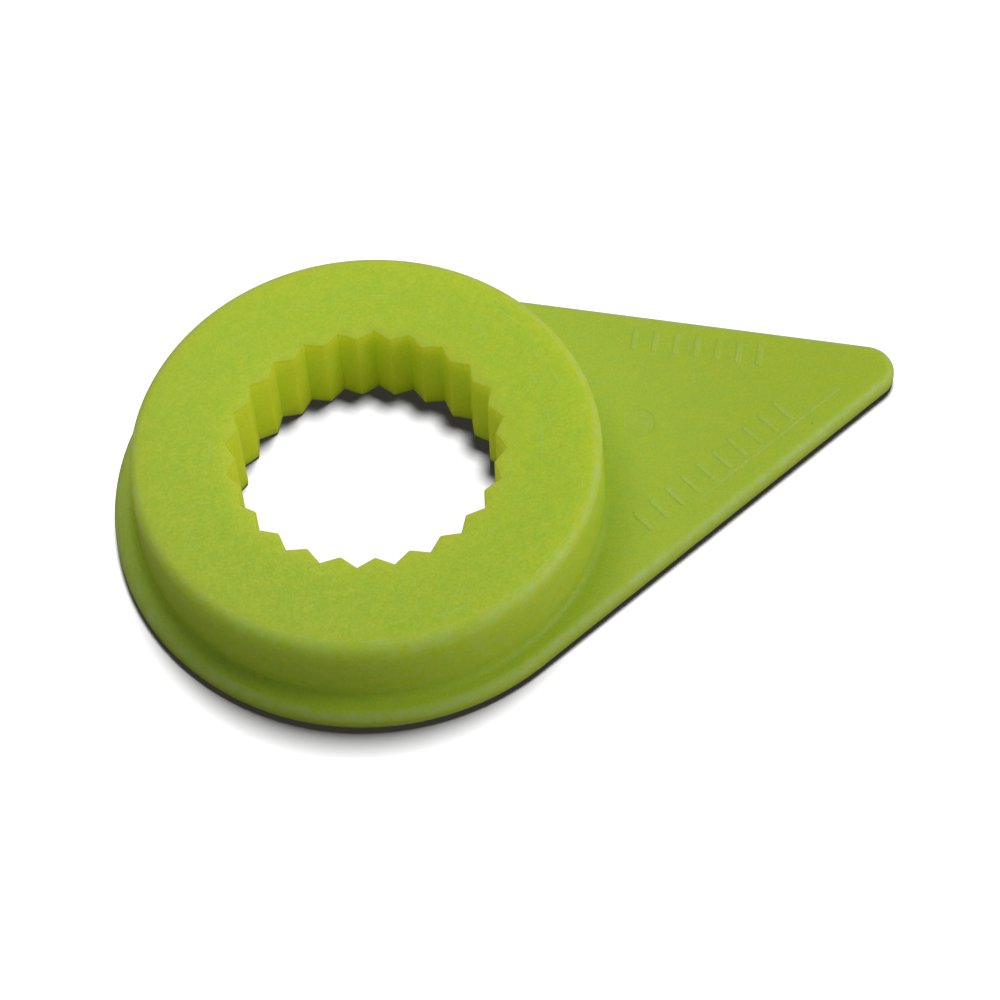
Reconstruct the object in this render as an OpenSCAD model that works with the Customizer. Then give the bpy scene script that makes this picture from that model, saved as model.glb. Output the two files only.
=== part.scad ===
// Loose wheel-nut indicator: a soft one-piece collar that is pushed over a hexagon wheel nut,
// with a flat plate under it that runs out to one side as a pointer.
// The origin is on the nut socket's axis, level with the underside. +X runs to the pointer's tip.

/* [Nut socket] */
// Distance across the flats of the wheel nut that the socket grips
nut_flats = 33; // [30:0.5:34]
// Number of V grooves round the socket, a multiple of the nut's six corners
groove_count = 24; // [12:6:30]
// Radial depth of a groove
groove_depth = 1.4; // [1:0.1:2]
// Width of the flat on top of each tooth between two grooves
tooth_flat = 0.2; // [0.2:0.1:0.8]
// Angle between a groove and the pointer's axis
groove_turn = -2.5; // [-7.5:0.5:7.5]
// Radius that rounds the socket's upper mouth
mouth_round = 0.3; // [0.2:0.1:1.5]

/* [Collar] */
// Diameter of the collar at its top
collar_d = 64; // [58:0.5:65]
// Height of the collar's top above the underside
collar_h = 13.5; // [10:0.5:18]
// Draft angle of the collar's outer wall
collar_draft = 2.5; // [1:0.5:3]
// Radius that rounds the collar's top outer edge
collar_round = 1.2; // [0.4:0.1:2]
// Radius of the fillet between the collar and the plate
fillet_round = 1.2; // [0.6:0.1:1.6]

/* [Pointer plate] */
// Thickness of the plate
plate_t = 2.4; // [2:0.1:4]
// Diameter of the plate round the collar
plate_d = 71.6; // [71:0.2:80]
// Distance from the socket's axis to the pointer's tip
pointer_l = 77; // [66:1:100]
// Radius of the pointer's rounded tip
tip_r = 4.1; // [3.4:0.1:6]
// Radius that rounds the plate's upper edge
plate_round = 1.4; // [0.4:0.1:1.8]

/* [Plate markings] */
// Height of the raised bars and lines
mark_h = 0.15; // [0.1:0.05:0.4]
// Length of a bar, across the pointer's flank
bar_l = 3.8; // [2:0.2:4.4]
// Width of a bar
bar_w = 0.8; // [0.4:0.1:1.2]
// Distance from one bar to the next
bar_pitch = 3; // [2:0.1:3]
// Diameter of the sunk ejector-pin mark
ejector_d = 4.5; // [2:0.5:6]
// Depth of the ejector-pin mark
ejector_depth = 0.15; // [0.05:0.05:0.3]

/* [Hidden] */
$fn = 96;
overshoot = 1;           // how far a cutter runs past the face that it cuts
mouth_lap = 0.05;        // how far inside the teeth the mouth's rounding starts
flank_lap = 0.1;         // how far inside the round ends the straight flanks run, so that they meet cleanly
line_w = 0.3;            // width of the raised line beside the near row of bars

groove_r = nut_flats / sqrt(3);                 // the nut's corners sit at the grooves' roots
tooth_r = groove_r - groove_depth;
groove_pitch = 360 / groove_count;
tooth_flat_angle = 2 * asin(tooth_flat / 2 / tooth_r);

// The collar's wall leans out by the draft, and its two round stretches are tangent to it
function wall_r(z) = collar_d / 2 + (collar_h - z) * tan(collar_draft);
edge_z = collar_h - collar_round;
edge_r = wall_r(edge_z) - collar_round / cos(collar_draft);
fillet_z = plate_t + fillet_round;
fillet_r = wall_r(fillet_z) + fillet_round / cos(collar_draft);

// The pointer's straight flanks are tangent to the plate's round end and to the round tip
plate_r = plate_d / 2;
tip_x = pointer_l - tip_r;
flank_angle = acos((plate_r - tip_r) / tip_x);
flank_l = tip_x * sin(flank_angle);

// Each row of bars: its inset from the flank, where it starts along the flank, and its count
near_row = [4.7, 24, 10];
far_row = [2.7, 32, 7];
// The line: its inset from the near flank, and where it starts and ends along it
near_line = [4.2, 33, 60];
ejector_x = 39;

function polar(r, a) = [r * cos(a), r * sin(a)];

module socket_outline() {
    polygon([for (i = [0 : groove_count - 1])
        let (a = groove_turn + i * groove_pitch)
        each [
            polar(groove_r, a),
            polar(tooth_r, a + (groove_pitch - tooth_flat_angle) / 2),
            polar(tooth_r, a + (groove_pitch + tooth_flat_angle) / 2)
        ]]);
}

module socket() {
    translate([0, 0, -overshoot])
        linear_extrude(collar_h + 2 * overshoot)
            socket_outline();
}

// The cutter that rounds the socket's upper mouth
module mouth() {
    low = collar_h - mouth_round;
    wide = tooth_r - mouth_lap + mouth_round;
    rotate_extrude()
        difference() {
            translate([0, low])
                square([wide, mouth_round + overshoot]);
            translate([wide, low])
                circle(mouth_round);
        }
}

module collar() {
    wall_low = [fillet_r, fillet_z] - fillet_round * [cos(collar_draft), sin(collar_draft)];
    wall_high = [edge_r, edge_z] + collar_round * [cos(collar_draft), sin(collar_draft)];
    rotate_extrude()
        difference() {
            union() {
                polygon([
                    [0, 0],
                    [fillet_r, 0],
                    [fillet_r, plate_t],
                    wall_low,
                    wall_high,
                    [edge_r, collar_h],
                    [0, collar_h]
                ]);
                translate([edge_r, edge_z])
                    circle(collar_round);
            }
            translate([fillet_r, fillet_z])
                circle(fillet_round);
        }
}

// Half of the plate's section, from its middle at x = 0 to its rounded edge at x = reach
module plate_section(reach) {
    difference() {
        square([reach, plate_t]);
        translate([reach - plate_round, plate_t - plate_round])
            difference() {
                square(plate_round + overshoot);
                circle(plate_round);
            }
    }
}

module plate_end(radius) {
    rotate_extrude()
        plate_section(radius);
}

// The frame of a flank: X along it towards the tip, Y across it, the flank's edge at Y = 0
module on_flank(side) {
    mirror([0, side < 0 ? 1 : 0, 0])
        rotate([0, 0, flank_angle - 90])
            translate([0, plate_r - flank_lap, 0])
                children();
}

// The straight part of the plate between its two round ends
module plate_flanks() {
    inset = 2 * plate_round;
    strip_w = 3 * plate_round;
    linear_extrude(plate_t)
        polygon([
            polar(plate_r - inset, -flank_angle),
            [tip_x, 0] + polar(tip_r - inset, -flank_angle),
            [tip_x, 0] + polar(tip_r - inset, flank_angle),
            polar(plate_r - inset, flank_angle)
        ]);
    for (side = [-1, 1])
        on_flank(side)
            rotate([90, 0, 90])
                linear_extrude(flank_l)
                    translate([-strip_w, 0])
                        plate_section(strip_w);
}

module plate() {
    plate_end(plate_r);
    translate([tip_x, 0, 0])
        plate_end(tip_r);
    plate_flanks();
}

module bar_row(side, row) {
    for (i = [0 : row[2] - 1])
        on_flank(side)
            translate([row[1] + i * bar_pitch, -row[0] - bar_l, 0])
                cube([bar_w, bar_l, plate_t + mark_h]);
}

module markings() {
    bar_row(-1, near_row);
    bar_row(1, far_row);
    on_flank(-1)
        translate([near_line[1], -near_line[0], 0])
            cube([near_line[2] - near_line[1], line_w, plate_t + mark_h]);
}

module nut_indicator() {
    color("yellowgreen")
        difference() {
            union() {
                plate();
                markings();
                collar();
            }
            socket();
            mouth();
            translate([ejector_x, 0, plate_t - ejector_depth])
                cylinder(d = ejector_d, h = overshoot);
        }
}

nut_indicator();
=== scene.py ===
"""Loose wheel-nut indicator: the moulding's finished mesh, its plastic, and a plain studio round it.

Lengths are in millimetres until they reach Blender, where MM turns them into metres. The moulding is one
closed skin. Columns run round the socket's axis and rows run along the section: up the grooved socket wall,
over the collar, across the plate and back along the underside. Only the plate's flat upper face is not made
of rows: it is filled round the raised bars, the raised line and the ejector-pin mark.
"""

import math

import bmesh
import bpy
from mathutils import Matrix, Vector, geometry, noise


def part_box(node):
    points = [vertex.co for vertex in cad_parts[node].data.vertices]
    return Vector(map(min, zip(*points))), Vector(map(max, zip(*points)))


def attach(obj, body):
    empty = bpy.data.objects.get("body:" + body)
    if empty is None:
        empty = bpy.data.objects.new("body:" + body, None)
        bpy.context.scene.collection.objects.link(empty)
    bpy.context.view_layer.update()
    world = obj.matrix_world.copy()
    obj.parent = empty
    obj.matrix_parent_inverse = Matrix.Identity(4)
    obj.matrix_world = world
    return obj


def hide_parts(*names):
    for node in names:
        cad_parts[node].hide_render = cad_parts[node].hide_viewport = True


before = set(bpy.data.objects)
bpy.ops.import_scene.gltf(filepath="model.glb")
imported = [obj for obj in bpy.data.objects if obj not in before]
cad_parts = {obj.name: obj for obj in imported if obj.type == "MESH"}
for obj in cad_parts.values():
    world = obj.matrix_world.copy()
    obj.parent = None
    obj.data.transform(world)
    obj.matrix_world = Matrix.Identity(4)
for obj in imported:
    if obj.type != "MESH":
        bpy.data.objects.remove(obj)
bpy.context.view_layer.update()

MM = 0.001
NODE = "nut_indicator"

# The frame gives the sizes that the CAD model settles
cad_low, cad_high = (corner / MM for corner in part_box(NODE))
PLATE_R = -cad_low.x
POINTER_L = cad_high.x
COLLAR_H = cad_high.z

# The nut socket
NUT_FLATS = 33.0
GROOVE_COUNT = 24
GROOVE_DEPTH = 1.4
TOOTH_FLAT = 0.2
GROOVE_TURN = math.radians(-2.5)
MOUTH_ROUND = 0.3
CORNER_BLEND = 0.06          # how widely the grooves' roots and the teeth's edges are rounded
SOCKET_FOOT_CHAMFER = 0.15
GROOVE_R = NUT_FLATS / math.sqrt(3)
TOOTH_R = GROOVE_R - GROOVE_DEPTH
GROOVE_PITCH = math.tau / GROOVE_COUNT

# The collar
COLLAR_TOP_R = 32.0
COLLAR_DRAFT = math.radians(2.5)
COLLAR_ROUND = 1.2
WORN_SIDE = math.radians(-100)
WEAR = 0.6                   # how much wider the top edge's rounding is on the worn side, as a share
FILLET_ROUND = 1.2
TOP_SINK = 0.1

# The pointer plate
PLATE_T = 2.4
TIP_R = 4.1
PLATE_ROUND = 1.4
EDGE_SETBACK = 0.06          # how far the edge lies inside the CAD model's, to leave room for the flash
FLASH_TOP = 0.45
FLASH_MEAN = 0.35            # how much of the setback the flash fills, and two noises that change it:
SLOW_NOISE = (0.22, 0.9)     # each noise's frequency a millimetre, and its share
QUICK_NOISE = (1.3, 0.7)
FOOT_ROUND = 0.12
UNDERSIDE_SINK = 0.08
UNDERSIDE_MARGIN = 1.0       # how far outside the collar the sink mark under it starts
TIP_X = POINTER_L - TIP_R
FLANK_ANGLE = math.acos((PLATE_R - TIP_R) / TIP_X)

# The plate's markings
MARK_H = 0.15
LINE_H = MARK_H / 2          # the line is fainter than the bars
BAR_L = 3.8
BAR_W = 0.8
BAR_PITCH = 3.0
CORNER_SHARE = 0.45          # a bar's corner radius, as a share of its shorter side
CORNER_POINTS = 5
NEAR_ROW = {"side": -1, "inset": 4.7, "start": 24.0, "count": 10}
FAR_ROW = {"side": 1, "inset": 2.7, "start": 32.0, "count": 7}
LINE = {"side": -1, "inset": 4.05, "start": 33.0, "end": 60.0, "width": 0.3}
EJECTOR_X = 39.0
EJECTOR_R = 2.25
EJECTOR_DEPTH = 0.15

# Colours
GREENER = (0.590, 0.810, 0.012, 1)
YELLOWER = (0.670, 0.830, 0.010, 1)
# Painted light on the thin plate: paler, bluer colours that paint the sky's reflection and light passing
# through the thin sheet
THIN_SHEEN_GREENER = (0.560, 0.800, 0.045, 1)
THIN_SHEEN_YELLOWER = (0.625, 0.810, 0.035, 1)
# Painted light in the socket: DEEP is the walls' painted shade low down, MOUTH their painted light near the
# top
DEEP = (0.785, 0.915, 0.019, 1)
MOUTH = (0.840, 0.998, 0.045, 1)
SHADED = (0.480, 0.640, 0.006, 1)
# Pale: on rounded edges it paints a highlight; on scratches and scuffs it is pale wear
PALE_WEAR_AND_HIGHLIGHT = (0.640, 0.880, 0.340, 1)
DIRT = (0.120, 0.130, 0.010, 1)
BOUNCE = (0.7, 0.6, 0.45, 1)
PALE = (0.36, 0.36, 0.357, 1)
SKY = (0.85, 0.95, 1.0, 1)

# The plastic. Each size is in millimetres, each share is from 0 to 1. A CUT is the stretch of a random
# pattern over which what it draws grows from none to full.
MOTTLE_SIZE = 1.6
MOTTLE_CUT = (0.36, 0.64)
GRAIN_SIZE = 0.35
GRAIN_CUT = (0.32, 0.68)
GRAIN_SHARE = 0.42           # how much SHADED the darkest grains hold
SOCKET_GRAIN = 0.6           # how much of the grain is left on the socket's walls; less dark grain there is part of the painted light in the socket
PAINTED_GLOW_FROM = 10.0             # painted light: the socket's walls pass from the darker DEEP to the lighter MOUTH between these depths below the top
PAINTED_GLOW_TO = 1.0
PAINTED_GLOW_FADE_OUT = (1.2, 0.2)   # from none to full between these distances outside the grooves' roots
PAINTED_GLOW_FADE_UP = (0.1, 0.6)    # and between these depths below the top
SCRATCHES = (
    {"turn": 20, "length": 9.0, "width": 0.22},
    {"turn": 115, "length": 6.0, "width": 0.18},
    {"turn": 62, "length": 5.0, "width": 0.2},
)
SCRATCH_CUT = (0.74, 0.78)
SCUFF_CUT = (0.69, 0.73)
SCUFF_RINGS = 2.2            # how quickly the scuffs' pattern changes, a millimetre outwards
SCUFF_TURNS = 2.6            # and a radian round the axis
SCUFF_DEPTHS = (0.5, 0.2)    # from none to full between these depths below the collar's top
MARK_SHARE = 0.3             # how pale the scratches and scuffs are
PALE_PATCH_SIZE = 2.0
PALE_PATCH_CUT = (0.3, 0.7)
PALE_PATCH_SHARE = (0.1, 0.6)     # the least and the most that a fully pale edge shows
DIRT_SPACING = 7.0
DIRT_SIZE = 0.16
DIRT_FREE = 0.6              # the share of cells that hold no speck
DIRT_SHARE = 0.6
ROUGHNESS = (0.46, 0.62)     # on the hollows and the crests of the grain
SCATTER_SHARE = (0.45, 1.0)  # in the thin plate and in the thick collar
SCATTER_RADIUS = (0.9, 0.8, 0.1)
SCATTER_REACH = 9
REFRACTION = 1.5
RIPPLE_SIZE = 6.0
RIPPLE_H = 0.12
GRAIN_H = 0.035
SCRATCH_DEPTH = 0.01
RELIEF_SHARE = 0.6
SKY_STRENGTH = 0.15

# How finely the skin is cut
SUPPORT = 0.12               # how far beyond a round stretch the next row lies, to keep its shading crisp
ROUND_STEPS = 6
FOOT_STEPS = 3
SOCKET_STEPS = 8
TOP_STEPS = 10
WALL_STEPS = 6
UNDERSIDE_STEPS = 12
UNDER_PLATE_ROWS = (0.6, 0.25)    # from 1 at the plate's edge to 0 at the sink mark's
FLANK_COLUMNS = 60
TIP_COLUMNS = 28
EJECTOR_COLUMNS = 40
GROOVE_COLUMNS = (0.0, 0.12, 0.3, 0.8, 1.7, 2.8, 3.9, 5.0, 6.0, 6.6, 6.9, 7.05, 7.15, 7.25, 7.37, 7.5)
CLOSEST_COLUMNS = math.radians(0.07)

# A marking's section: how far each loop is grown past the outline, its share of the height, how much paler
# it is
RELIEF_STEPS = (
    (0.22, 0.0, 0.0),
    (0.13, 0.04, 0.2),
    (0.06, 0.2, 0.5),
    (0.0, 0.5, 0.9),
    (-0.05, 0.8, 1.0),
    (-0.09, 0.95, 1.0),
    (-0.12, 1.0, 1.0),
)

# How much paler each edge is made, from 0 to 1; on the socket's mouth, the collar's top edge and the plate's
# rounded edge this is a painted highlight
SOCKET_FOOT_PALENESS = (0.3, 0.5, 0.2)
MOUTH_HIGHLIGHT = 0.2
COLLAR_EDGE_HIGHLIGHT = (0.3, 0.6)    # at the edge's two ends, and how much more at its middle
WALL_PALENESS = 0.35
FLASH_PALENESS = (0.4, 1.0, 0.6)
PLATE_FOOT_PALENESS = 0.2
BAR_PALENESS = 0.4
LINE_PALENESS = 0.5
EJECTOR_PALENESS = 0.15

# The camera: its turn round the target, its height over the floor, and its roll about its own axis
VIEW_AZIMUTH = math.radians(-13.79)
VIEW_ELEVATION = math.radians(58.03)
VIEW_ROLL = math.radians(-2.34)
VIEW_TARGET = (17.07, -5.35, 0.0)
VIEW_DISTANCE = 350.2
LENS = 90.47
SENSOR_W = 36

# The floors and the bounce card: how wide they are, and how far below the underside they lie
FLOOR_R = 4000
FLOOR_GAP = 0.55
SOCKET_FLOOR_R = GROOVE_R + 4
SOCKET_FLOOR_GAP = 0.3
BOUNCE_R = 3000
BOUNCE_GAP = 0.04
CARD_SIDES = 64


# ---- the section's curves ----

def smooth_max(a, b, blend):
    """The larger of two numbers, with the corner between them rounded over the width blend."""
    overlap = max(blend - abs(a - b), 0.0) / blend
    return max(a, b) + overlap * overlap * blend / 4


def smooth_min(a, b, blend):
    return -smooth_max(-a, -b, blend)


def socket_r(angle):
    """The socket wall's radius: V grooves between narrow flat teeth, with every corner slightly rounded."""
    turn = (angle - GROOVE_TURN + GROOVE_PITCH / 2) % GROOVE_PITCH - GROOVE_PITCH / 2
    edge_angle = (GROOVE_PITCH - TOOTH_FLAT / TOOTH_R) / 2
    root = Vector((GROOVE_R, 0))
    edge = Vector((TOOTH_R * math.cos(edge_angle), TOOTH_R * math.sin(edge_angle)))
    along = (edge - root).normalized()
    normal = Vector((along.y, -along.x))
    flank = root.dot(normal) / Vector((math.cos(turn), math.sin(abs(turn)))).dot(normal)
    rounded = smooth_min(flank, GROOVE_R - CORNER_BLEND / 4, CORNER_BLEND)
    return smooth_max(rounded, TOOTH_R, CORNER_BLEND)


def outline_r(angle, inset=0.0):
    """The radius of the plate's outline, moved inwards: a round end, two straight flanks, a round tip."""
    turn = abs((angle + math.pi) % math.tau - math.pi)
    big = PLATE_R - inset
    small = max(TIP_R - inset, 0.0)
    if turn >= FLANK_ANGLE:
        return big
    tip_turn = math.atan2(small * math.sin(FLANK_ANGLE), TIP_X + small * math.cos(FLANK_ANGLE))
    if turn >= tip_turn:
        return big / math.cos(FLANK_ANGLE - turn)
    return TIP_X * math.cos(turn) + math.sqrt(small ** 2 - (TIP_X * math.sin(turn)) ** 2)


def column_angles():
    """The columns' angles: the same over each groove, and more where the plate's outline needs them."""
    angles = []
    for i in range(GROOVE_COUNT):
        for turn in GROOVE_COLUMNS:
            for side in (-1, 1):
                angles.append(GROOVE_TURN + GROOVE_PITCH * i + side * math.radians(turn))
    flank_l = TIP_X * math.sin(FLANK_ANGLE)
    for side in (-1, 1):
        for i in range(FLANK_COLUMNS + 1):
            along = flank_l * i / FLANK_COLUMNS
            angles.append(side * (FLANK_ANGLE - math.atan2(along, PLATE_R)))
    for i in range(TIP_COLUMNS + 1):
        bearing = FLANK_ANGLE * (2 * i / TIP_COLUMNS - 1)
        angles.append(math.atan2(TIP_R * math.sin(bearing), TIP_X + TIP_R * math.cos(bearing)))
    angles = sorted(a % math.tau for a in angles)
    kept = [angles[0]]
    for a in angles[1:]:
        if a - kept[-1] > CLOSEST_COLUMNS:
            kept.append(a)
    return kept


def arc(steps=ROUND_STEPS):
    """Angles of a quarter turn, from 0 to 90 degrees."""
    return [math.pi / 2 * i / steps for i in range(steps + 1)]


def wall_r(z):
    """The radius of the collar's drafted outer wall at the height z."""
    return COLLAR_TOP_R + (COLLAR_H - z) * math.tan(COLLAR_DRAFT)


# ---- the rows ----
# Each row is a function from a column's angle to a point's radius, height and rim weight. The rim weight
# says how much paler the plastic is made there, from 0 to 1; on rounded edges it is a painted highlight.

def socket_rows():
    """Rows up the socket's wall, from the chamfer at its foot to its rounded mouth."""
    foot = SOCKET_FOOT_CHAMFER
    low = COLLAR_H - MOUTH_ROUND
    underside_pale, chamfer_pale, wall_pale = SOCKET_FOOT_PALENESS
    rows = [
        lambda a: (socket_r(a) + foot, 0.0, underside_pale),
        lambda a: (socket_r(a) + foot / 4, foot / 4, chamfer_pale),
        lambda a: (socket_r(a), foot, wall_pale),
    ]
    for i in range(1, SOCKET_STEPS + 1):
        z = foot + (low - foot) * i / SOCKET_STEPS
        rows.append(lambda a, z=z: (socket_r(a), z, 0.0))
    for t in arc()[1:]:
        z = low + MOUTH_ROUND * math.sin(t)
        out = MOUTH_ROUND * (1 - math.cos(t))
        # Painted highlight on the mouth's rounding
        rows.append(lambda a, z=z, out=out, w=MOUTH_HIGHLIGHT * math.sin(t): (socket_r(a) + out, z, w))
    return rows


def collar_round(angle):
    """The radius of the collar's top outer edge, which is worn rounder on one side."""
    return COLLAR_ROUND * (1 + WEAR * max(math.cos(angle - WORN_SIDE), 0.0) ** 2)


def collar_edge(angle, turn):
    """A point on the rounded top edge, at a turn from 0 on the top face to 90 degrees on the wall."""
    radius = collar_round(angle)
    centre_z = COLLAR_H - radius
    centre_r = wall_r(centre_z) - radius / math.cos(COLLAR_DRAFT)
    return centre_r + radius * math.sin(turn), centre_z + radius * math.cos(turn)


def collar_top_rows(rim_row):
    """Rows over the collar's top, which sinks slightly between the socket's mouth and the outer edge."""
    def top(a, share):
        inner = rim_row(a)[0] + SUPPORT
        outer = collar_edge(a, 0)[0] - SUPPORT
        sink = TOP_SINK * math.sin(math.pi * share) ** 2
        return (inner + (outer - inner) * share, COLLAR_H - sink, 0.0)

    rows = [lambda a, s=i / TOP_STEPS: top(a, s) for i in range(TOP_STEPS + 1)]
    end_highlight, middle_highlight = COLLAR_EDGE_HIGHLIGHT
    for t in arc():
        # Painted highlight along the collar's rounded top edge, strongest at its middle
        rows.append(lambda a, t=t: (*collar_edge(a, t), end_highlight + middle_highlight * math.sin(2 * t)))
    return rows


def collar_wall_rows():
    """Rows down the collar's outer wall and over the fillet at its foot."""
    fillet_z = PLATE_T + FILLET_ROUND
    fillet_r = wall_r(fillet_z) + FILLET_ROUND / math.cos(COLLAR_DRAFT)

    def wall(a, share):
        top = COLLAR_H - collar_round(a)
        z = top + (fillet_z - top) * share
        return (wall_r(z), z, WALL_PALENESS)

    rows = [lambda a, s=i / WALL_STEPS: wall(a, s) for i in range(1, WALL_STEPS + 1)]
    for t in arc()[1:]:
        r = fillet_r - FILLET_ROUND * math.cos(t)
        z = fillet_z - FILLET_ROUND * math.sin(t)
        rows.append(lambda a, r=r, z=z: (r, z, 0.0))
    rows.append(lambda a: (fillet_r + SUPPORT, PLATE_T, 0.0))
    return rows


def flash_out(angle):
    """How far the thin parting flash stands out along the plate's foot, unevenly by slow and quick noise."""
    p = Vector((math.cos(angle), math.sin(angle), 0.0)) * outline_r(angle)
    slow_frequency, slow_share = SLOW_NOISE
    quick_frequency, quick_share = QUICK_NOISE
    slow = noise.noise(p * slow_frequency)
    quick = noise.noise(p * quick_frequency + Vector((40, 0, 0)))
    filled = FLASH_MEAN + slow_share * slow + quick_share * quick
    return EDGE_SETBACK * min(max(filled, 0.0), 1.0)


def plate_edge_rows():
    """Rows over the plate's rounded upper edge, down its side with the flash, and round its foot."""
    rows = [lambda a: (outline_r(a, EDGE_SETBACK + PLATE_ROUND + SUPPORT), PLATE_T, 0.0)]
    for t in arc():
        inset = EDGE_SETBACK + PLATE_ROUND * (1 - math.sin(t))
        z = PLATE_T - PLATE_ROUND * (1 - math.cos(t))
        # Painted highlight along the plate's rounded edge, strongest at its middle
        rows.append(lambda a, d=inset, z=z, w=math.sin(2 * t): (outline_r(a, d), z, w))
    above_pale, crest_pale, below_pale = FLASH_PALENESS
    rows += [
        lambda a: (outline_r(a, EDGE_SETBACK), FLASH_TOP, 0.0),
        lambda a: (outline_r(a, EDGE_SETBACK - flash_out(a) / 2), FLASH_TOP * 0.75, above_pale),
        lambda a: (outline_r(a, EDGE_SETBACK - flash_out(a)), FLASH_TOP / 2, crest_pale),
        lambda a: (outline_r(a, EDGE_SETBACK - flash_out(a) / 2), FOOT_ROUND, below_pale),
    ]
    for t in arc(FOOT_STEPS)[1:]:
        inset = EDGE_SETBACK + FOOT_ROUND * (1 - math.cos(t))
        z = FOOT_ROUND * (1 - math.sin(t))
        rows.append(lambda a, d=inset, z=z: (outline_r(a, d), z, PLATE_FOOT_PALENESS))
    return rows


def underside_rows():
    """Rows under the plate, from its edge to the socket, with a shallow sink mark under the collar."""
    collar_ring = wall_r(0) + UNDERSIDE_MARGIN

    def under_plate(a, share):
        return (collar_ring + (outline_r(a, UNDERSIDE_MARGIN) - collar_ring) * share, 0.0, 0.0)

    def under_collar(a, share):
        inner = socket_r(a) + SOCKET_FOOT_CHAMFER + SUPPORT
        sink = UNDERSIDE_SINK * math.sin(math.pi * share) ** 2
        return (collar_ring + (inner - collar_ring) * share, sink, 0.0)

    rows = [lambda a: (outline_r(a, EDGE_SETBACK + FOOT_ROUND + SUPPORT), 0.0, 0.0)]
    rows += [lambda a, s=share: under_plate(a, s) for share in UNDER_PLATE_ROWS]
    rows += [lambda a, s=i / UNDERSIDE_STEPS: under_collar(a, s) for i in range(UNDERSIDE_STEPS + 1)]
    return rows


# ---- the mesh ----

def point(angle, radius, height):
    return Vector((radius * math.cos(angle), radius * math.sin(angle), height)) * MM


def add_row(bm, rim, row, angles):
    """One vertex for each column."""
    made = []
    for a in angles:
        r, z, weight = row(a)
        v = bm.verts.new(point(a, r, z))
        v[rim] = weight
        made.append(v)
    return made


def bridge(bm, lower, upper):
    """Quads between two closed loops that have the same number of vertices."""
    count = len(lower)
    for i in range(count):
        j = (i + 1) % count
        bm.faces.new((lower[i], lower[j], upper[j], upper[i]))


def add_strip(bm, loops):
    for lower, upper in zip(loops, loops[1:]):
        bridge(bm, lower, upper)


def on_flank(side, along, inset):
    """The point at a distance along a flank from where it leaves the round end, and inset from its edge."""
    turn = side * FLANK_ANGLE
    outward = Vector((math.cos(turn), math.sin(turn)))
    forward = Vector((math.sin(FLANK_ANGLE), -side * math.cos(FLANK_ANGLE)))
    return outward * (PLATE_R - inset) + forward * along


def rounded_box(side, along, inset, length, width, grow):
    """The outline of a bar with round corners, grown outwards by grow. Length lies across the flank."""
    corner = min(length, width) * CORNER_SHARE
    outline = []
    for k in range(4):
        sx = 1 if k in (0, 3) else -1
        sy = 1 if k in (0, 1) else -1
        for i in range(CORNER_POINTS):
            t = math.pi / 2 * (k + i / (CORNER_POINTS - 1))
            x = sx * (width / 2 - corner) + (corner + grow) * math.cos(t)
            y = sy * (length / 2 - corner) + (corner + grow) * math.sin(t)
            outline.append(on_flank(side, along + x, inset + y))
    return outline


def bar_outlines(row):
    for i in range(row["count"]):
        along = row["start"] + BAR_W / 2 + i * BAR_PITCH
        inset = row["inset"] + BAR_L / 2
        yield lambda grow, a=along, d=inset: rounded_box(row["side"], a, d, BAR_L, BAR_W, grow)


def line_outline(grow):
    along = (LINE["start"] + LINE["end"]) / 2
    length = LINE["end"] - LINE["start"]
    return rounded_box(LINE["side"], along, LINE["inset"], LINE["width"], length, grow)


def ejector_outline(grow):
    ring = []
    for i in range(EJECTOR_COLUMNS):
        t = math.tau * i / EJECTOR_COLUMNS
        ring.append(Vector((EJECTOR_X, 0)) + Vector((math.cos(t), math.sin(t))) * (EJECTOR_R + grow))
    return ring


def add_relief(bm, rim, outline_at, height, paleness):
    """A raised or sunk patch, from its foot on the plate to its flat face. Returns the foot's loop."""
    loops = []
    for grow, rise, weight in RELIEF_STEPS:
        loop = []
        for p in outline_at(grow):
            v = bm.verts.new(Vector((p.x, p.y, PLATE_T + height * rise)) * MM)
            v[rim] = weight * paleness
            loop.append(v)
        loops.append(loop)
    add_strip(bm, loops)
    bm.faces.new(loops[-1])
    return loops[0]


def add_markings(bm, rim):
    feet = []
    for row in (NEAR_ROW, FAR_ROW):
        for outline in bar_outlines(row):
            feet.append(add_relief(bm, rim, outline, MARK_H, BAR_PALENESS))
    feet.append(add_relief(bm, rim, line_outline, LINE_H, LINE_PALENESS))
    feet.append(add_relief(bm, rim, ejector_outline, -EJECTOR_DEPTH, EJECTOR_PALENESS))
    return feet


def inside(p, loop):
    """True if the flat point p lies within the closed loop of flat points."""
    hit = False
    for a, b in zip(loop, loop[1:] + loop[:1]):
        if (a.y > p.y) != (b.y > p.y) and p.x < a.x + (p.y - a.y) * (b.x - a.x) / (b.y - a.y):
            hit = not hit
    return hit


def fill_plate(bm, inner, outer, feet):
    """Triangles over the plate's flat face, from the collar's fillet to the edge, round every marking."""
    verts = []
    edges = []
    outlines = []
    for loop in [outer, inner, *feet]:
        start = len(verts)
        count = len(loop)
        verts += loop
        edges += [(start + i, start + (i + 1) % count) for i in range(count)]
        outlines.append([Vector((v.co.x, v.co.y)) / MM for v in loop])
    flat = [p for outline in outlines for p in outline]
    within_outer = 1         # Blender's number for dropping the triangles outside the outermost outline
    merge_distance = 1e-6
    filled = geometry.delaunay_2d_cdt(flat, edges, [], within_outer, merge_distance)
    triangles, sources = filled[2:4]
    for triangle in triangles:
        corners = [sources[i][0] for i in triangle]
        middle = sum((flat[i] for i in corners), Vector((0, 0))) / 3
        if not any(inside(middle, hole) for hole in outlines[1:]):
            bm.faces.new([verts[i] for i in corners])


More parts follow.
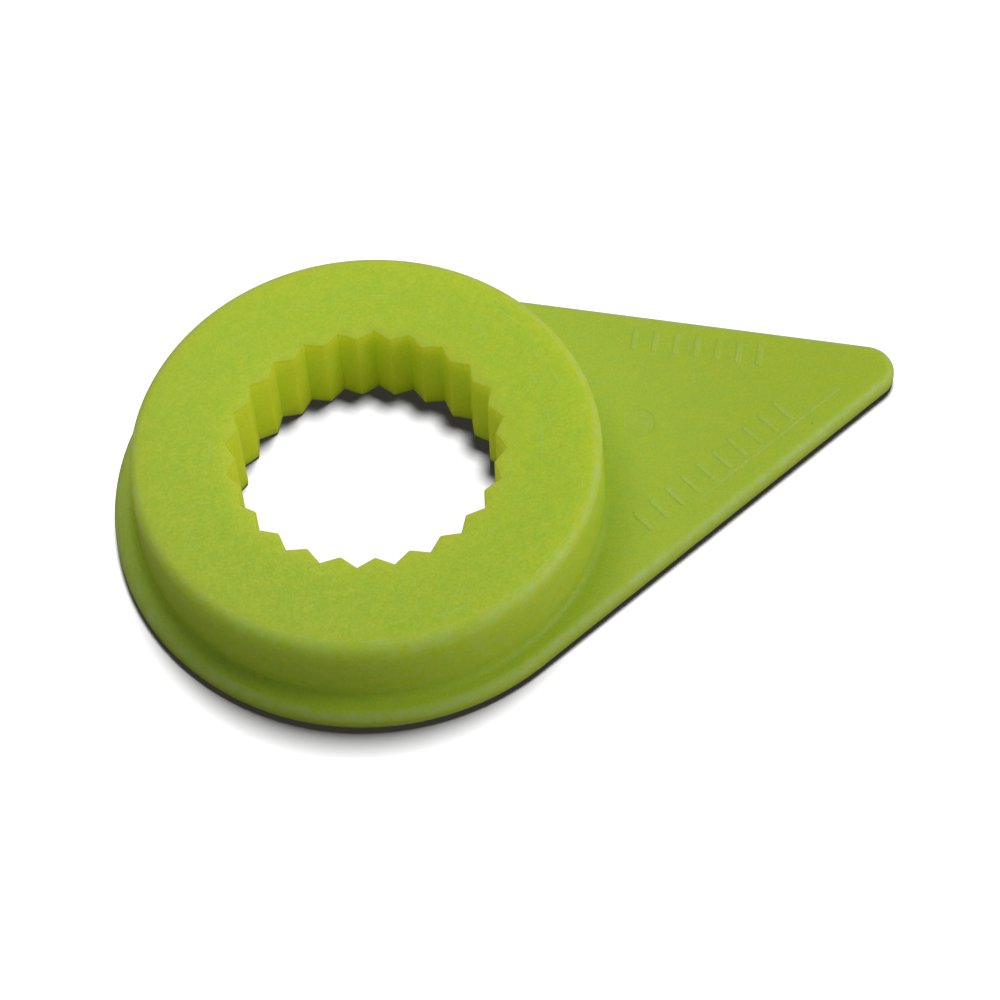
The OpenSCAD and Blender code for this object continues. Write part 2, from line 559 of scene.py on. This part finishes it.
def make_moulding():
    bm = bmesh.new()
    rim = bm.verts.layers.float.new("rim")
    angles = column_angles()
    socket = socket_rows()
    body = socket + collar_top_rows(socket[-1]) + collar_wall_rows()
    upper = [add_row(bm, rim, row, angles) for row in body]
    edge = [add_row(bm, rim, row, angles) for row in plate_edge_rows() + underside_rows()]
    add_strip(bm, upper)
    add_strip(bm, edge + [upper[0]])
    fill_plate(bm, upper[-1], edge[0], add_markings(bm, rim))
    bmesh.ops.recalc_face_normals(bm, faces=bm.faces)
    for face in bm.faces:
        face.smooth = True
    mesh = bpy.data.meshes.new("moulding")
    bm.to_mesh(mesh)
    bm.free()
    piece = bpy.data.objects.new("moulding", mesh)
    bpy.context.scene.collection.objects.link(piece)
    return piece


# ---- the plastic ----

def make_node(tree, kind, inputs, **settings):
    """A shader node. Each input is either a plain value or another node's output."""
    made = tree.nodes.new("ShaderNode" + kind)
    for name, value in settings.items():
        setattr(made, name, value)
    for name, value in inputs.items():
        if isinstance(value, bpy.types.NodeSocket):
            tree.links.new(value, made.inputs[name])
        else:
            made.inputs[name].default_value = value
    return made


def calculate(tree, operation, a, b=0.0):
    return make_node(tree, "Math", {0: a, 1: b}, operation=operation).outputs[0]


def strongest(tree, values):
    result = values[0]
    for value in values[1:]:
        result = calculate(tree, "MAXIMUM", result, value)
    return result


def remap(tree, value, low, high, to_low=0.0, to_high=1.0):
    """The value's place between low and high, cut off at both ends, as a number from to_low to to_high."""
    places = {"Value": value, "From Min": low, "From Max": high, "To Min": to_low, "To Max": to_high}
    return make_node(tree, "MapRange", places).outputs[0]


def blend(tree, share, a, b):
    """One colour where share is 0, another where it is 1."""
    return make_node(tree, "Mix", {0: share, 6: a, 7: b}, data_type="RGBA").outputs[2]


def clouds(tree, place, size, detail=2.0):
    """A soft random pattern, from about 0.3 to 0.7, whose patches are about size millimetres wide."""
    settings = {"Vector": place, "Scale": 1 / size, "Detail": detail}
    return make_node(tree, "TexNoise", settings).outputs["Fac"]


def stretch(tree, place, turn, sizes):
    """The place turned about Z and squeezed, so that a pattern on it comes out long and thin."""
    turned = make_node(tree, "VectorRotate", {"Vector": place, "Angle": math.radians(turn)}).outputs[0]
    scale = [1 / size for size in sizes]
    return make_node(tree, "VectorMath", {0: turned, 1: scale}, operation="MULTIPLY").outputs[0]


def scratches(tree, place, turn, length, width):
    """Sparse fine straight lines, from 0 to 1."""
    streaks = clouds(tree, stretch(tree, place, turn, (length, width, width)), 1.0, 1.0)
    return remap(tree, streaks, *SCRATCH_CUT)


def scuffs_round_socket(tree, radius, bearing):
    """Sparse fine arcs round the socket's axis, as left by turning the moulding on its nut, from 0 to 1."""
    rings = calculate(tree, "MULTIPLY", radius, SCUFF_RINGS)
    turns = calculate(tree, "MULTIPLY", bearing, SCUFF_TURNS)
    place = make_node(tree, "CombineXYZ", {0: rings, 1: turns}).outputs[0]
    return remap(tree, clouds(tree, place, 1.0, 1.0), *SCUFF_CUT)


def specks(tree, place, spacing, size):
    """Tiny dots in some cells of the given spacing, from 0 to 1."""
    cells = make_node(tree, "TexVoronoi", {"Vector": place, "Scale": 1 / spacing})
    chance = make_node(tree, "SeparateColor", {0: cells.outputs["Color"]}).outputs[0]
    few = calculate(tree, "GREATER_THAN", chance, DIRT_FREE)
    dot = remap(tree, cells.outputs["Distance"], size / spacing, size / spacing * 0.5)
    return calculate(tree, "MULTIPLY", few, dot)


def wear_marks(tree, place, z, radius, bearing):
    """Scratches everywhere, and arcs on the collar's top, from 0 to 1."""
    on_top = remap(tree, z, *(COLLAR_H - depth for depth in SCUFF_DEPTHS))
    arcs = calculate(tree, "MULTIPLY", on_top, scuffs_round_socket(tree, radius, bearing))
    return strongest(tree, [scratches(tree, place, **kind) for kind in SCRATCHES] + [arcs])


def clean_colour(tree, place, z, radius, thick, grain):
    """Mottled yellow-green; greyer where the moulding is thin, a painted sky reflection and painted light
    through the thin plate; and a painted glow on the socket's walls, lighter towards the mouth.
    """
    mottling = remap(tree, clouds(tree, place, MOTTLE_SIZE, detail=4.0), *MOTTLE_CUT)
    body = blend(tree, mottling, GREENER, YELLOWER)
    # Greyer and bluer where thin: a painted sky reflection and painted light through the thin plate
    thin = blend(tree, mottling, THIN_SHEEN_GREENER, THIN_SHEEN_YELLOWER)
    colour = blend(tree, thick, thin, body)
    # Painted light in the socket: its walls are coloured lighter towards the mouth and darker deeper down,
    # and keep less of the dark grain
    near_axis = remap(tree, radius, *(GROOVE_R + out for out in PAINTED_GLOW_FADE_OUT))
    below_top = remap(tree, z, *(COLLAR_H - depth for depth in PAINTED_GLOW_FADE_UP))
    in_socket = calculate(tree, "MULTIPLY", near_axis, below_top)
    glow = blend(tree, remap(tree, z, COLLAR_H - PAINTED_GLOW_FROM, COLLAR_H - PAINTED_GLOW_TO), DEEP, MOUTH)
    colour = blend(tree, in_socket, colour, glow)
    grain_left = remap(tree, in_socket, 0.0, 1.0, GRAIN_SHARE, GRAIN_SHARE * SOCKET_GRAIN)
    shade = calculate(tree, "MULTIPLY", grain, grain_left)
    return blend(tree, shade, colour, SHADED)


def marked_and_highlit_colour(tree, place, colour, marks):
    """The colour with pale edges, on rounded ones a painted highlight, pale wear marks and specks of dirt on
    it.
    """
    rim = make_node(tree, "Attribute", {}, attribute_name="rim").outputs["Fac"]
    # Edges made paler by their rim weight, in patches; on rounded edges this is a painted highlight
    patches = remap(tree, clouds(tree, place, PALE_PATCH_SIZE, detail=3.0), *PALE_PATCH_CUT, *PALE_PATCH_SHARE)
    colour = blend(tree, calculate(tree, "MULTIPLY", rim, patches), colour, PALE_WEAR_AND_HIGHLIGHT)
    colour = blend(tree, calculate(tree, "MULTIPLY", marks, MARK_SHARE), colour, PALE_WEAR_AND_HIGHLIGHT)
    dirt = calculate(tree, "MULTIPLY", specks(tree, place, DIRT_SPACING, DIRT_SIZE), DIRT_SHARE)
    return blend(tree, dirt, colour, DIRT)


def surface_relief(tree, place, grain, marks):
    """Slow ripples, fine texture and shallow scratches, in millimetres."""
    ripple = calculate(tree, "MULTIPLY", clouds(tree, place, RIPPLE_SIZE, detail=1.0), RIPPLE_H)
    texture = calculate(tree, "MULTIPLY", grain, GRAIN_H)
    dent = calculate(tree, "MULTIPLY", marks, -SCRATCH_DEPTH)
    return calculate(tree, "ADD", calculate(tree, "ADD", ripple, texture), dent)


def plastic():
    """Translucent fluorescent polyurethane: cloudy inside, matt and slightly scuffed outside."""
    material = bpy.data.materials.new("fluorescent_polyurethane")
    material.use_nodes = True
    tree = material.node_tree
    shader = tree.nodes["Principled BSDF"]

    coordinates = make_node(tree, "TexCoord", {})
    in_mm = {0: coordinates.outputs["Object"], "Scale": 1 / MM}
    place = make_node(tree, "VectorMath", in_mm, operation="SCALE").outputs[0]
    x, y, z = make_node(tree, "SeparateXYZ", {0: place}).outputs
    flat_place = make_node(tree, "VectorMath", {0: place, 1: (1, 1, 0)}, operation="MULTIPLY").outputs[0]
    radius = make_node(tree, "VectorMath", {0: flat_place}, operation="LENGTH").outputs["Value"]
    bearing = calculate(tree, "ARCTAN2", y, x)
    thick = remap(tree, z, PLATE_T, PLATE_T + 3)
    grain = remap(tree, clouds(tree, place, GRAIN_SIZE, detail=3.0), *GRAIN_CUT)
    marks = wear_marks(tree, place, z, radius, bearing)

    colour = marked_and_highlit_colour(tree, place, clean_colour(tree, place, z, radius, thick, grain), marks)
    tree.links.new(colour, shader.inputs["Base Color"])
    tree.links.new(remap(tree, grain, 0.0, 1.0, *ROUGHNESS), shader.inputs["Roughness"])
    tree.links.new(remap(tree, thick, 0.0, 1.0, *SCATTER_SHARE), shader.inputs["Subsurface Weight"])
    shader.inputs["IOR"].default_value = REFRACTION
    shader.inputs["Subsurface Radius"].default_value = SCATTER_RADIUS
    shader.inputs["Subsurface Scale"].default_value = SCATTER_REACH * MM

    relief = surface_relief(tree, place, grain, marks)
    bump = make_node(tree, "Bump", {"Height": relief, "Distance": MM, "Strength": RELIEF_SHARE})
    tree.links.new(bump.outputs[0], shader.inputs["Normal"])
    return material


# ---- the studio ----

def matte(name, colour):
    material = bpy.data.materials.new(name)
    material.use_nodes = True
    shader = material.node_tree.nodes["Principled BSDF"]
    shader.inputs["Base Color"].default_value = colour
    shader.inputs["Roughness"].default_value = 1.0
    shader.inputs["Specular IOR Level"].default_value = 0.0
    return material


def make_card(name, radius, gap, colour):
    """A round flat card, a small gap below the moulding, that casts no shade on it."""
    bpy.ops.mesh.primitive_circle_add(
        vertices=CARD_SIDES, radius=radius * MM, fill_type="NGON", location=(0, 0, -gap * MM))
    card = bpy.context.object
    card.name = name
    card.data.materials.append(matte(name, colour))
    card.visible_shadow = False
    return card


def make_floor(name, radius, gap):
    """A pale floor that is seen. It takes its own light, and sends none back to the moulding."""
    floor = make_card(name, radius, gap, PALE)
    floor.visible_diffuse = False
    floor.visible_glossy = False
    return floor


def make_bounce():
    """An unseen card that throws the moulding's own light back at it from below."""
    bounce = make_card("bounce", BOUNCE_R, BOUNCE_GAP, BOUNCE)
    bounce.visible_camera = False
    return bounce


def aim(thing, place, target):
    thing.location = place
    thing.rotation_euler = (Vector(target) - Vector(place)).to_track_quat("-Z", "Y").to_euler()


def add_light(name, receivers, bearing, height, distance, size, power):
    """A square soft light on some of the objects: angles in degrees, lengths in metres, power in watts."""
    light = bpy.data.lights.new(name, "AREA")
    light.size = size
    light.energy = power
    lamp = bpy.data.objects.new(name, light)
    bpy.context.scene.collection.objects.link(lamp)
    b = math.radians(bearing)
    h = math.radians(height)
    away = Vector((math.cos(b) * math.cos(h), math.sin(b) * math.cos(h), math.sin(h)))
    aim(lamp, away * distance, (0, 0, 0))
    lit = bpy.data.collections.new(name + "_receivers")
    for thing in receivers:
        lit.objects.link(thing)
    lamp.light_linking.receiver_collection = lit


def make_world(colour, strength):
    world = bpy.data.worlds.new("studio")
    bpy.context.scene.world = world
    world.use_nodes = True
    background = world.node_tree.nodes["Background"]
    background.inputs["Color"].default_value = colour
    background.inputs["Strength"].default_value = strength


def make_camera():
    back = Vector((
        math.sin(VIEW_AZIMUTH) * math.cos(VIEW_ELEVATION),
        -math.cos(VIEW_AZIMUTH) * math.cos(VIEW_ELEVATION),
        math.sin(VIEW_ELEVATION),
    ))
    data = bpy.data.cameras.new("camera")
    data.lens = LENS
    data.sensor_width = SENSOR_W
    data.clip_start = 0.01
    camera = bpy.data.objects.new("camera", data)
    bpy.context.scene.collection.objects.link(camera)
    camera.location = (Vector(VIEW_TARGET) + back * VIEW_DISTANCE) * MM
    camera.rotation_mode = "QUATERNION"
    level = (-back).to_track_quat("-Z", "Y")
    camera.rotation_quaternion = level @ Matrix.Rotation(VIEW_ROLL, 3, "Z").to_quaternion()
    bpy.context.scene.camera = camera


moulding = make_moulding()
moulding.data.materials.append(plastic())
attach(moulding, "root")
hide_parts(NODE)

floor = make_floor("floor", FLOOR_R, FLOOR_GAP)
socket_floor = make_floor("floor_in_socket", SOCKET_FLOOR_R, SOCKET_FLOOR_GAP)
bounce = make_bounce()
make_world(SKY, SKY_STRENGTH)
add_light("key", (moulding, bounce), bearing=84, height=64, distance=0.2, size=0.12, power=0.102)
add_light("glow", (moulding, bounce), bearing=127, height=67, distance=0.13, size=0.06, power=0.013)
add_light("side", (moulding, bounce), bearing=-24, height=34, distance=0.4, size=0.2, power=0.48)
add_light("floor_wash", (floor,), bearing=68, height=64, distance=2.7, size=0.8, power=270)
add_light("socket_wash", (socket_floor,), bearing=46, height=77, distance=0.9, size=0.16, power=24)
make_camera()
bpy.context.scene.view_settings.view_transform = "Standard"
